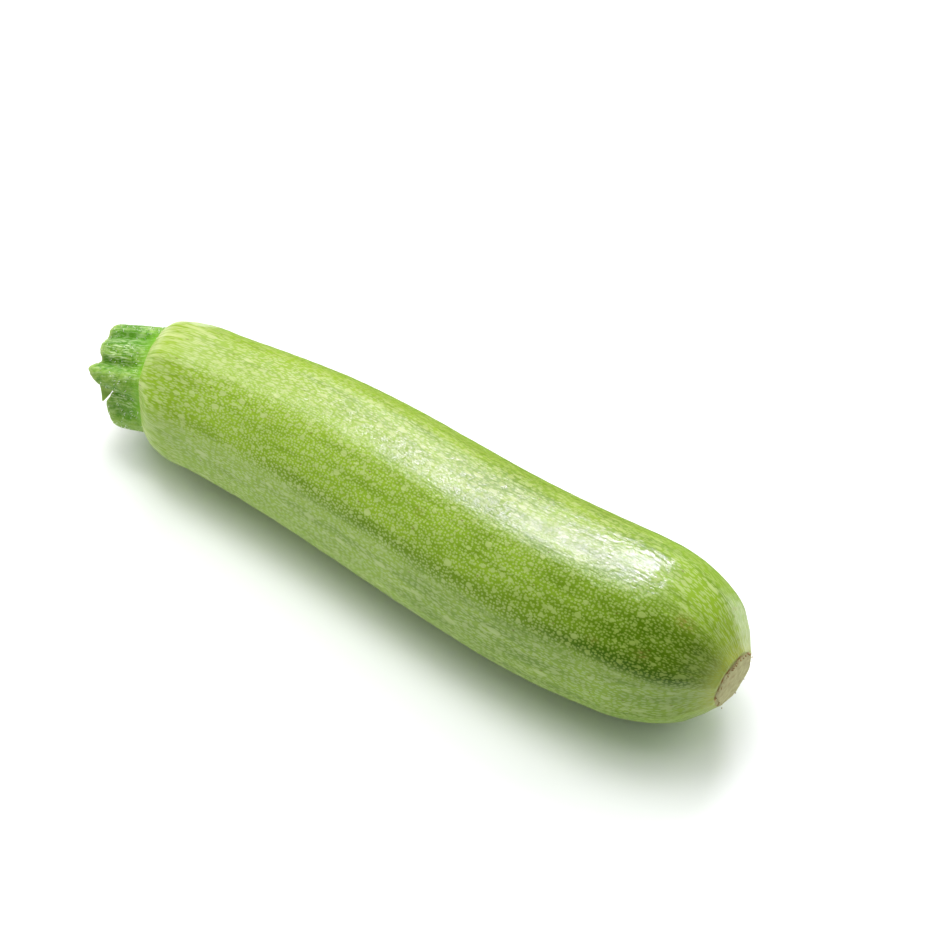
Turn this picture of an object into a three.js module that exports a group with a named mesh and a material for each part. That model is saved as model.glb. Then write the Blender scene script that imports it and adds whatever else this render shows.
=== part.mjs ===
import * as THREE from 'three';

// A pale green courgette lying on its side: the fruit, and the short torn stub of stem it was picked with.
// Millimetres, +Z up. The fruit grows along +X, from the stem to the corky scar that the blossom left.
// Angles round the fruit and the stem start at the -Y side and turn over the top.

// ---------------------------------------------------------------- fruit

// Distance along the fruit from the stem, and its radius there.
const FRUIT_OUTLINE = [
  [0, 14.6],
  [3.5, 17.2],
  [9, 18.5],
  [18, 18.7],
  [31, 19.6],
  [48, 20.7],
  [68, 21.5],
  [94, 22],
  [119, 22.6],
  [136, 22.6],
  [148, 22],
  [156.5, 19.9],
  [163, 16.8],
  [167.5, 12.4],
  [170, 9.1],
  [171.2, 7.6],
];
const FRUIT_LENGTH = 171.2;
const RINGS_PER_SPAN = 4;
const FRUIT_SIDES = 64;

// The middle line: one long bow to the -Y side, a half turn of S, and a tip bent to the -Y side and down.
// It rises towards the thick end, because the fruit lies on its skin.
const BOW = 1.5;
const SWAY = 2.85;
const TIP_START = 0.8;
const TIP_BEND_Y = 4.2;
const TIP_BEND_Z = 0.45;
const AXIS_HEIGHT = 19.7;
const AXIS_RISE = 3.05;

// Eight low ribs with nearly flat panels between them: the angles of their crests, and their depth as a share
// of the radius. They are a little stronger where they run into the stem and the blossom scar.
const RIB_CRESTS = [28, 72, 115, 159, 205, 251, 297, 343];
const RIB_DEPTH = 0.01;
const RIB_DEPTH_AT_ENDS = 0.016;
const RIB_SHARPNESS = 0.125;
const END_ZONE = 0.14;

// The stem leaves the fruit at a slant: sideways and downwards slope of the seam between them.
const SEAM_SLOPE_Y = 0.15;
const SEAM_SLOPE_Z = 0.1;

// The blossom scar: a corky disc with a raised, slightly angular rim.
const SCAR_RADIUS = 7.7;
const SCAR_RIM_HEIGHT = 0.8;
const SCAR_RIM_WIDTH = 1;
const SCAR_DISC_HEIGHT = 0.45;
const SCAR_DOME = 0.35;
const SCAR_CORNERS = 7;
const SCAR_ANGULARITY = 0.03;

// ---------------------------------------------------------------- stem

const SEAM_GAP = 0.3;
const STEM_SIDES = 80;

// Distance from the seam, as a share of the stub's length, and the radius at the foot of the ridges.
const STEM_OUTLINE = [
  [0, 13.4],
  [0.15, 12.5],
  [0.35, 11.9],
  [0.6, 11.5],
  [0.85, 11.1],
  [1, 10.6],
];
const RINGS_PER_STEM_SPAN = 3;

// Where the stub's middle line points: away from the fruit, bent to the -Y side and down.
const STEM_DIRECTION = new THREE.Vector3(-1, -0.22, -0.17).normalize();

// The ridges that run down the stem: angle, height and half width. They sink in towards the seam.
const STEM_RIDGES = [
  { angle: 122, height: 2.3, width: 24 },
  { angle: 80, height: 1.0, width: 14 },
  { angle: 46, height: 2.1, width: 17 },
  { angle: -22, height: 2.7, width: 24 },
  { angle: -72, height: 1.5, width: 18 },
  { angle: -118, height: 1.7, width: 22 },
  { angle: 170, height: 1.4, width: 20 },
];
const RIDGE_AT_SEAM = 0.6;

// The torn end: angle, and how far the skin reaches from the seam there.
const TORN_EDGE = [
  [-180, 14],
  [-150, 13],
  [-120, 13.5],
  [-95, 12],
  [-65, 11],
  [-40, 10],
  [-22, 10.2],
  [-8, 11],
  [3, 11.5],
  [7, 9.5],
  [11, 12.2],
  [30, 13],
  [40, 14.8],
  [48, 16.4],
  [54, 15.4],
  [62, 14.2],
  [72, 14.8],
  [84, 15.2],
  [100, 15.4],
  [118, 15.3],
  [140, 14.6],
  [160, 15],
  [180, 14],
];

// The broken end inside the torn skin: distance in from its rim and depth below it, then its middle's reach.
const BROKEN_END = [
  [1.2, 1],
  [5.3, 2.5],
];
const BROKEN_MIDDLE_REACH = 7.5;

// The shoulder takes the outline of the ridged stem over this distance from the seam.
const SHOULDER_LENGTH = 5;

// ---------------------------------------------------------------- shapes

const smoothstep = THREE.MathUtils.smoothstep;

/** The middle line of the fruit at a share of its length. */
function middlePoint(share) {
  const tip = Math.max(0, (share - TIP_START) / (1 - TIP_START)) ** 2;
  return new THREE.Vector3(
    FRUIT_LENGTH * share,
    SWAY * Math.sin(2 * Math.PI * share) - BOW * Math.sin(Math.PI * share) - TIP_BEND_Y * tip,
    AXIS_HEIGHT + AXIS_RISE * share - TIP_BEND_Z * tip,
  );
}

/** The centre and the axes of the fruit's section at a share of its length, slanted near the seam. */
function fruitSection(share) {
  const step = 0.001;
  const along = middlePoint(share + step).sub(middlePoint(share - step)).normalize();
  const slant = 1 - smoothstep(share, 0, END_ZONE);
  along.y += SEAM_SLOPE_Y * slant;
  along.z += SEAM_SLOPE_Z * slant;
  return sectionAcross(middlePoint(share), along.normalize());
}

/** A section's centre with its axes: side points to -Y, up points upwards. */
function sectionAcross(centre, along) {
  const side = new THREE.Vector3().crossVectors(along, new THREE.Vector3(0, 0, 1)).normalize();
  const up = new THREE.Vector3().crossVectors(side, along);
  return { centre, along, side, up };
}

/** A point of a section, at a radius and an angle, moved along the axis by a shift. */
function sectionPoint(section, radius, angle, shift = 0) {
  return section.centre
    .clone()
    .addScaledVector(section.side, radius * Math.cos(angle))
    .addScaledVector(section.up, radius * Math.sin(angle))
    .addScaledVector(section.along, shift);
}

/** The wave of the ribs at an angle in degrees: highest on the crests, lowest midway between two of them. */
function ribWave(degrees) {
  const first = RIB_CRESTS[0];
  const turn = THREE.MathUtils.euclideanModulo(degrees - first, 360) + first;
  const crests = [...RIB_CRESTS, first + 360];
  const next = crests.findIndex((crest) => crest > turn);
  const phase = THREE.MathUtils.mapLinear(turn, crests[next - 1], crests[next], 0, 2 * Math.PI);
  return Math.cos(phase) + RIB_SHARPNESS * Math.cos(2 * phase);
}

/** How far the ribs swell the fruit's radius at a share of its length and an angle. */
function ribSwelling(share, angle) {
  const fromStem = Math.max(0, 1 - share / END_ZONE);
  const fromScar = Math.max(0, (share - 1 + END_ZONE) / END_ZONE);
  const depth = RIB_DEPTH + RIB_DEPTH_AT_ENDS * (fromStem ** 2 + fromScar ** 2);
  return 1 + depth * ribWave(THREE.MathUtils.radToDeg(angle));
}

/** The angles of a ring with so many sides. */
function ringAngles(sides) {
  return Array.from({ length: sides }, (_, i) => (2 * Math.PI * i) / sides);
}

/** Points of an outline, drawn smoothly through its corners. */
function smoothOutline(corners, stepsPerSpan) {
  const curve = new THREE.SplineCurve(corners.map(([x, y]) => new THREE.Vector2(x, y)));
  return curve.getPoints(stepsPerSpan * (corners.length - 1));
}

/** A closed body through a row of rings, with a pole at each end. */
function closedLoft(rings, firstPole, lastPole) {
  const sides = rings[0].length;
  const points = [firstPole, ...rings.flat(), lastPole];
  const lastIndex = points.length - 1;
  const at = (ring, side) => 1 + ring * sides + (side % sides);
  const triangles = [];
  for (let side = 0; side < sides; side += 1) {
    triangles.push(0, at(0, side), at(0, side + 1));
    triangles.push(lastIndex, at(rings.length - 1, side + 1), at(rings.length - 1, side));
    for (let ring = 0; ring + 1 < rings.length; ring += 1) {
      triangles.push(at(ring, side), at(ring + 1, side), at(ring + 1, side + 1));
      triangles.push(at(ring, side), at(ring + 1, side + 1), at(ring, side + 1));
    }
  }
  const geometry = new THREE.BufferGeometry();
  geometry.setFromPoints(points);
  geometry.setIndex(triangles);
  geometry.computeVertexNormals();
  return geometry;
}

/** The rings of the blossom scar, from the skin over the raised rim to the corky disc. */
function scarRings() {
  const section = fruitSection(1);
  const profile = [
    [SCAR_RADIUS + 0.1, 0.5 * SCAR_RIM_HEIGHT],
    [SCAR_RADIUS - 0.3 * SCAR_RIM_WIDTH, SCAR_RIM_HEIGHT],
    [SCAR_RADIUS - SCAR_RIM_WIDTH, SCAR_DISC_HEIGHT],
    [0.5 * SCAR_RADIUS, SCAR_DISC_HEIGHT + 0.6 * SCAR_DOME],
  ];
  return profile.map(([radius, height]) =>
    ringAngles(FRUIT_SIDES).map((angle) => {
      const corner = 1 + SCAR_ANGULARITY * Math.cos(SCAR_CORNERS * angle);
      return sectionPoint(section, radius * corner, angle, height);
    }),
  );
}

/** The radius of the fruit's skin: ribbed, and shaped by the stem's ridges where it meets the seam. */
function skinRadius(distance, outlineRadius, angle) {
  const ribbed = outlineRadius * ribSwelling(distance / FRUIT_LENGTH, angle);
  const fromSeam = smoothstep(distance, 0, SHOULDER_LENGTH);
  return THREE.MathUtils.lerp(seamRadius(angle) + outlineRadius - FRUIT_OUTLINE[0][1], ribbed, fromSeam);
}

/** The fruit, pressed flat by its weight where it meets the surface it lies on. */
function fruitGeometry() {
  const skinRings = smoothOutline(FRUIT_OUTLINE, RINGS_PER_SPAN).map((point) => {
    const section = fruitSection(point.x / FRUIT_LENGTH);
    return ringAngles(FRUIT_SIDES).map((angle) => {
      const place = sectionPoint(section, skinRadius(point.x, point.y, angle), angle);
      place.z = Math.max(place.z, 0);
      return place;
    });
  });
  const stemPole = fruitSection(0).centre;
  const scarPole = sectionPoint(fruitSection(1), 0, 0, SCAR_DISC_HEIGHT + SCAR_DOME);
  return closedLoft([...skinRings, ...scarRings()], stemPole, scarPole);
}

/** The full height of the stem's ridges at an angle in degrees. */
function ridgeHeight(degrees) {
  let height = 0;
  for (const ridge of STEM_RIDGES) {
    const turn = THREE.MathUtils.euclideanModulo(degrees - ridge.angle + 180, 360) - 180;
    height += ridge.height * Math.exp(-((turn / ridge.width) ** 2));
  }
  return height;
}

/** The radius of the seam between the fruit and the stem. */
function seamRadius(angle) {
  return STEM_OUTLINE[0][1] + RIDGE_AT_SEAM * ridgeHeight(THREE.MathUtils.radToDeg(angle));
}

/** How far the torn skin reaches from the seam at an angle in degrees. */
function tornReach(degrees) {
  const turn = THREE.MathUtils.euclideanModulo(degrees + 180, 360) - 180;
  const next = TORN_EDGE.findIndex(([angle]) => angle > turn);
  const [angleA, reachA] = TORN_EDGE[next - 1];
  const [angleB, reachB] = TORN_EDGE[next];
  return THREE.MathUtils.mapLinear(turn, angleA, angleB, reachA, reachB);
}

/** The stub of stem: ridged, flared where it grips the fruit, torn off at the other end. */
function stemGeometry() {
  const seam = fruitSection(0);
  const foot = seam.centre.clone().addScaledVector(seam.along, -SEAM_GAP);
  const angles = ringAngles(STEM_SIDES);
  const outline = smoothOutline(STEM_OUTLINE, RINGS_PER_STEM_SPAN);
  const ringAt = (share, footRadius, drop) =>
    angles.map((angle) => {
      const degrees = THREE.MathUtils.radToDeg(angle);
      const distance = share * tornReach(degrees) - drop;
      const centre = foot.clone().addScaledVector(STEM_DIRECTION, distance);
      const relief = THREE.MathUtils.lerp(RIDGE_AT_SEAM, 1, Math.min(1, 2 * share));
      return sectionPoint({ ...seam, centre }, footRadius + relief * ridgeHeight(degrees), angle);
    });
  const sideRings = outline.map((point) => ringAt(point.x, point.y, 0));
  const rimRadius = outline[outline.length - 1].y;
  const endRings = BROKEN_END.map(([inset, depth]) => ringAt(1, rimRadius - inset, depth));
  const endPole = foot.clone().addScaledVector(STEM_DIRECTION, BROKEN_MIDDLE_REACH);
  const rings = [...sideRings, ...endRings].reverse();
  return closedLoft(rings, endPole, foot);
}

// ---------------------------------------------------------------- materials and assembly

const skin = new THREE.MeshStandardMaterial({ color: 0x9cbf52, roughness: 0.35, metalness: 0 });
const stemSkin = new THREE.MeshStandardMaterial({ color: 0x6fa548, roughness: 0.55, metalness: 0 });

const fruit = new THREE.Mesh(fruitGeometry(), skin);
fruit.name = 'fruit';

const stem = new THREE.Mesh(stemGeometry(), stemSkin);
stem.name = 'stem';

// The origin is under the middle of the whole courgette, on the surface it lies on.
const courgette = new THREE.Group();
courgette.add(fruit, stem);
const box = new THREE.Box3().setFromObject(courgette);
const middle = box.getCenter(new THREE.Vector3());
courgette.position.set(-middle.x, -middle.y, -box.min.z);
courgette.updateMatrixWorld(true);

export default courgette;
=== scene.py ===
"""A pale green courgette lying on a table: ribbed fruit, corky blossom scar and a torn stub of stem.

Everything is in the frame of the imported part, in metres: +X runs along the fruit from the stem to the blossom
end, +Z is up and the origin is under the middle, on the table. Shapes are worked out in millimetres in the
fruit's own space, where x is 0 at the seam between stem and fruit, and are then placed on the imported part.
"""

import logging
import math
from collections.abc import Callable
from dataclasses import dataclass, field
from enum import Enum

import bpy
import numpy as np
from mathutils import Matrix, Vector, noise


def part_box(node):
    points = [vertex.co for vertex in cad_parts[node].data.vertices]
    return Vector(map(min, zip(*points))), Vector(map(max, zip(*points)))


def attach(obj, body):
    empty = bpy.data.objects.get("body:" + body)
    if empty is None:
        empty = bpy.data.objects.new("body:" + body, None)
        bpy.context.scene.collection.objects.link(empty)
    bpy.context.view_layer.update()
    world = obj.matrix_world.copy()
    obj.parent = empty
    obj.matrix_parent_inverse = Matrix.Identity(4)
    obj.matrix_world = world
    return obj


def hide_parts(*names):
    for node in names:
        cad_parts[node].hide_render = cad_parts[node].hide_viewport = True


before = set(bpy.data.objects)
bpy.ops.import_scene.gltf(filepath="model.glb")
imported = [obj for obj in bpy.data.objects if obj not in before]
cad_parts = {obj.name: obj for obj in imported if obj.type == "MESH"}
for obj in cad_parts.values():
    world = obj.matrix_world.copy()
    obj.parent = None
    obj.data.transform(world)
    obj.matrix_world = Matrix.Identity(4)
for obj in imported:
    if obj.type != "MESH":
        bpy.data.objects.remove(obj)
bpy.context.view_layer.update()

MM = 0.001
BODY = "root"
GROWTH_MAP = "growth"

Array = np.ndarray
Link = bpy.types.NodeSocket
Span = tuple[float, float]
Edges = tuple[float, float, float, float]
Rows = tuple[tuple[float, ...], ...]
log = logging.getLogger("courgette")


# --- small helpers


class Slot(Enum):
    """The part's own names for its finishes."""

    SKIN = "skin"
    STEM = "stem_skin"


def hex_colour(code: str) -> tuple[float, float, float, float]:
    """Turns an sRGB colour into the linear colour that a shader reads.

    Args:
        code: Six hex digits, such as "9CBF52".

    Returns:
        Linear red, green and blue, and an alpha of 1.
    """
    shares = [int(code[i : i + 2], 16) / 255 for i in (0, 2, 4)]
    linear = [s / 12.92 if s <= 0.04045 else ((s + 0.055) / 1.055) ** 2.4 for s in shares]
    return (linear[0], linear[1], linear[2], 1.0)


def smoothstep(x: Array, low: float, high: float) -> Array:
    """Rises smoothly from 0 at low to 1 at high."""
    t = np.clip((x - low) / (high - low), 0.0, 1.0)
    return t * t * (3 - 2 * t)


def plateau(x: Array, edges: Edges) -> Array:
    """Rises smoothly from 0 to 1 between the first two edges and falls back between the last two."""
    return smoothstep(x, *edges[:2]) * (1 - smoothstep(x, *edges[2:]))


def peak(away: Array, width: float) -> Array:
    """A smooth peak: 1 where away is 0, and next to nothing beyond twice the width."""
    return np.exp(-((away / width) ** 2))


def turned(angle: Array, middle: Array | float) -> Array:
    """How many degrees an angle in radians is past a middle in degrees, from -180 to 180."""
    return (np.degrees(angle) - middle + 180) % 360 - 180


def ring(angle: Array, size: float = 1.0, along: Array | float = 0.0) -> Array:
    """Points on a ring of this size, for relief that closes on itself all round."""
    return np.stack([np.cos(angle) * size, np.sin(angle) * size, along + 0 * angle], -1)


def smooth_outline(corners: Array, at: Array) -> Array:
    """Points of the smooth curve through an outline's corners.

    Args:
        corners: The corners, one a row.
        at: Places along it, where 0 is the first corner, 1 the second and so on.

    Returns:
        A row for each place.
    """
    last = len(corners) - 1
    span = np.clip(np.floor(at).astype(int), 0, last - 1)
    t = (at - span)[:, None]
    before, start = corners[np.maximum(span - 1, 0)], corners[span]
    end, after = corners[span + 1], corners[np.minimum(span + 2, last)]
    v0, v1 = (end - before) / 2, (after - start) / 2
    bend = (2 * start - 2 * end + v0 + v1) * t + 3 * end - 3 * start - 2 * v0 - v1
    return (bend * t + v0) * t + start


def ripple(points: Array, wavelength: float, seed: float) -> Array:
    """Smooth random relief, from about -1 to 1, with one value for each point.

    Args:
        points: Places, one a row.
        wavelength: The size of its waves, in the points' unit.
        seed: A number that gives another relief of the same kind.
    """
    shift = Vector((seed, -seed, 2 * seed))
    return np.array([noise.noise(Vector(p) / wavelength + shift) for p in points])


def ripples(points: Array, rows: Rows) -> Array:
    """Several reliefs on top of each other. A row is a relief's wavelength, seed and height."""
    return sum(height * ripple(points, wavelength, seed) for wavelength, seed, height in rows)


class MaterialMaker:
    """A material while its nodes are put together."""

    def __init__(self, name: str) -> None:
        """Makes the material, with no nodes yet."""
        self.material = bpy.data.materials.new(name)
        self.material.use_nodes = True
        self.tree = self.material.node_tree
        self.tree.nodes.clear()

    def add(self, kind: str, inputs: dict | None = None, output: int | str = 0, **settings) -> Link | None:
        """Adds a node, sets it up and joins it to what feeds it.

        Args:
            kind: The node's type, such as "Mix".
            inputs: Its sockets by name or number, each with a value or with another node's output.
            output: The name or number of the output that is wanted.
            **settings: Its properties by name.

        Returns:
            That output, where the node has any.
        """
        node = self.tree.nodes.new("ShaderNode" + kind)
        for name, value in settings.items():
            setattr(node, name, value)
        for socket, value in (inputs or {}).items():
            if isinstance(value, bpy.types.NodeSocket):
                self.tree.links.new(value, node.inputs[socket])
            else:
                node.inputs[socket].default_value = value
        return node.outputs[output] if node.outputs else None

    def finished(self, surface: dict) -> bpy.types.Material:
        """Closes the material with a surface that has these inputs."""
        self.add("OutputMaterial", {0: self.add("BsdfPrincipled", surface)})
        return self.material


def vertex_array(mesh: bpy.types.Mesh, name: str = "co") -> Array:
    """One of a mesh's vertex vectors, a row for each vertex."""
    values = np.empty(len(mesh.vertices) * 3, np.float32)
    mesh.vertices.foreach_get(name, values)
    return values.reshape(-1, 3).astype(float)


def move_vertices(mesh: bpy.types.Mesh, places: Array) -> None:
    """Puts every vertex at its row's place, in metres."""
    mesh.vertices.foreach_set("co", places.astype(np.float32).ravel())
    mesh.update()


def store(mesh: bpy.types.Mesh, name: str, values: Array) -> None:
    """Writes a number or a vector for each vertex as a named attribute of the mesh."""
    vector = values.ndim == 2
    kind = "FLOAT_VECTOR" if vector else "FLOAT"
    attribute = mesh.attributes.get(name) or mesh.attributes.new(name, kind, "POINT")
    attribute.data.foreach_set("vector" if vector else "value", values.astype(np.float32).ravel())


def stored(mesh: bpy.types.Mesh, name: str, width: int) -> Array:
    """Reads a named attribute of the mesh back, a row for each vertex."""
    values = np.empty(len(mesh.vertices) * width, np.float32)
    mesh.attributes[name].data.foreach_get("value" if width == 1 else "vector", values)
    return (values if width == 1 else values.reshape(-1, width)).astype(float)


def apply_modifier(piece: bpy.types.Object, name: str, kind: str, **settings) -> None:
    """Adds a modifier to a piece and applies it.

    Args:
        piece: The piece, which becomes the active object.
        name: The modifier's name.
        kind: Its type, such as "SUBSURF".
        **settings: Its properties by name.
    """
    modifier = piece.modifiers.new(name, kind)
    for key, value in settings.items():
        setattr(modifier, key, value)
    bpy.context.view_layer.objects.active = piece
    bpy.ops.object.modifier_apply(modifier=name)


def primitive(kind: Callable, **sizes) -> bpy.types.Object:
    """Adds a primitive with nothing else selected."""
    bpy.ops.object.select_all(action="DESELECT")
    kind(**sizes)
    return bpy.context.object


def join_copies(piece: bpy.types.Object, copies: list[Array]) -> None:
    """Gives a piece a mesh that holds many copies of the one it has.

    Args:
        piece: The piece.
        copies: Each copy's vertices, in metres.
    """
    faces = [np.array(face.vertices) for face in piece.data.polygons]
    starts = range(0, len(copies) * len(piece.data.vertices), len(piece.data.vertices))
    joined = [(face + start).tolist() for start in starts for face in faces]
    mesh = bpy.data.meshes.new("copies")
    mesh.from_pydata(np.concatenate(copies).tolist(), [], joined)
    old, piece.data = piece.data, mesh
    bpy.data.meshes.remove(old)


def finish_piece(
    piece: bpy.types.Object, name: str, material: bpy.types.Material
) -> None:
    """Names a piece, shades it smooth, gives it its material and lets it ride on the part.

    Args:
        piece: The piece.
        name: Its name.
        material: What it is made of.
    """
    piece.name = name
    piece.data.name = name
    piece.data.materials.clear()
    piece.data.materials.append(material)
    piece.data.polygons.foreach_set("use_smooth", [True] * len(piece.data.polygons))
    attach(piece, BODY)
    log.info("%s: %d faces", name, len(piece.data.polygons))


# --- shape of the whole courgette


@dataclass
class Section:
    """Cross sections: their centres and axes, a row for each."""

    centre: Array
    along: Array
    side: Array
    up: Array

    @classmethod
    def across(cls, centre: Array, along: Array) -> "Section":
        """Sections at these centres, square to these directions, with side pointing to -Y."""
        along = along / np.linalg.norm(along, axis=1, keepdims=True)
        side = np.cross(along, [0.0, 0.0, 1.0])
        side /= np.linalg.norm(side, axis=1, keepdims=True)
        return cls(centre, along, side, np.cross(side, along))

    def point(self, radius: Array, cosine: Array, sine: Array, shift: Array | float = 0.0) -> Array:
        """Points at a radius and an angle in the sections, shifted along their axis."""
        spread = np.asarray(radius)[:, None]
        moved = self.along * np.broadcast_to(shift, spread.shape[:1])[:, None]
        return self.centre + spread * (cosine[:, None] * self.side + sine[:, None] * self.up) + moved


@dataclass(frozen=True)
class CourgetteForm:
    """The formulas that both pieces share, in millimetres from the seam between stem and fruit.

    The outline's rows are a place along the fruit and the radius there. The rib crests are angles round it,
    from the side that faces -Y. A row of the ridges is a crest's angle, its height and its width in degrees.
    """

    outline: Rows = (
        (0, 14.6), (3.5, 17.2), (9, 18.5), (18, 18.7), (31, 19.6), (48, 20.7), (68, 21.5), (94, 22),
        (119, 22.6), (136, 22.6), (148, 22), (156.5, 19.9), (163, 16.8), (167.5, 12.4), (170, 9.1),
        (171.2, 7.6),
    )
    length: float = 171.2
    bow: float = 1.5
    sway: float = 2.85
    tip_start: float = 0.8
    tip_bend: Span = (4.2, 0.45)
    axis_height: float = 19.7
    axis_rise: float = 3.05
    rib_crests: tuple[float, ...] = (28, 72, 115, 159, 205, 251, 297, 343)
    rib_depth: float = 0.010
    rib_depth_at_ends: float = 0.016
    rib_sharpness: float = 0.125
    end_zone: float = 0.14
    seam_slope: Span = (0.15, 0.10)
    shoulder_length: float = 5.0
    seam_foot: float = 13.4
    ridges: Rows = (
        (122, 2.3, 24), (80, 1.0, 14), (46, 2.1, 17), (-22, 2.7, 24), (-72, 1.5, 18), (-118, 1.7, 22),
        (170, 1.4, 20),
    )
    ridge_at_seam: float = 0.6

    def middle(self, share: Array) -> Array:
        """The middle line at shares of the fruit's length."""
        tip = np.maximum(0, (share - self.tip_start) / (1 - self.tip_start)) ** 2
        wave = self.sway * np.sin(2 * np.pi * share) - self.bow * np.sin(np.pi * share)
        height = self.axis_height + self.axis_rise * share
        aside, lowered = (bend * tip for bend in self.tip_bend)
        return np.stack([self.length * share, wave - aside, height - lowered], -1)

    def sections(self, share: Array) -> Section:
        """The fruit's cross sections, slanted towards the seam."""
        step = 0.001
        along = self.middle(share + step) - self.middle(share - step)
        along /= np.linalg.norm(along, axis=1, keepdims=True)
        slant = 1 - smoothstep(share, 0, self.end_zone)
        along[:, 1] += self.seam_slope[0] * slant
        along[:, 2] += self.seam_slope[1] * slant
        return Section.across(self.middle(share), along)

    def rib_wave(self, angle: Array) -> Array:
        """The wave of the ribs: highest on their crests, lowest midway between two of them."""
        first = self.rib_crests[0]
        turn = (np.degrees(angle) - first) % 360 + first
        phase = 2 * np.pi * np.interp(turn, [*self.rib_crests, first + 360], range(len(self.rib_crests) + 1))
        return np.cos(phase) + self.rib_sharpness * np.cos(2 * phase)

    def ridge_height(self, angle: Array) -> Array:
        """The full height of the stem's ridges."""
        return sum(tall * peak(turned(angle, crest), width) for crest, tall, width in self.ridges)

    def seam_radius(self, angle: Array) -> Array:
        """The radius of the seam, shaped by the stem's ridges."""
        return self.seam_foot + self.ridge_at_seam * self.ridge_height(angle)

    def skin_radius(self, x: Array, radius: Array, angle: Array) -> Array:
        """The radius of the skin: ribbed, and following the stem's ridges at the seam."""
        share = x / self.length
        from_stem = np.maximum(0, 1 - share / self.end_zone)
        from_scar = np.maximum(0, (share - 1 + self.end_zone) / self.end_zone)
        depth = self.rib_depth + self.rib_depth_at_ends * (from_stem**2 + from_scar**2)
        ribbed = radius * (1 + depth * self.rib_wave(angle))
        at_seam = self.seam_radius(angle) + radius - self.outline[0][1]
        blend = smoothstep(x, 0, self.shoulder_length)
        return at_seam * (1 - blend) + ribbed * blend


@dataclass
class Placement:
    """Takes points from the courgette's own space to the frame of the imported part."""

    origin: Array = field(default_factory=lambda: np.zeros(3))

    def fit(self, points: Array) -> None:
        """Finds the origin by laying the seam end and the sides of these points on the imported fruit."""
        low, high = (np.array(corner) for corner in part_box("fruit"))
        own_low, own_high = points.min(0) * MM, points.max(0) * MM
        self.origin = np.array([low[0] - own_low[0], (low[1] + high[1] - own_low[1] - own_high[1]) / 2, 0.0])

    def __call__(self, points: Array) -> Array:
        """The same points in the frame of the part, in metres."""
        return points * MM + self.origin


# --- finishes


@dataclass(frozen=True)
class Fleck:
    """One size of fleck in the skin, in millimetres.

    They are about one spacing apart, and share is how many of those places have one.
    """

    spacing: float
    share: float
    radius: Span
    softness: float
    strength: float


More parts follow.
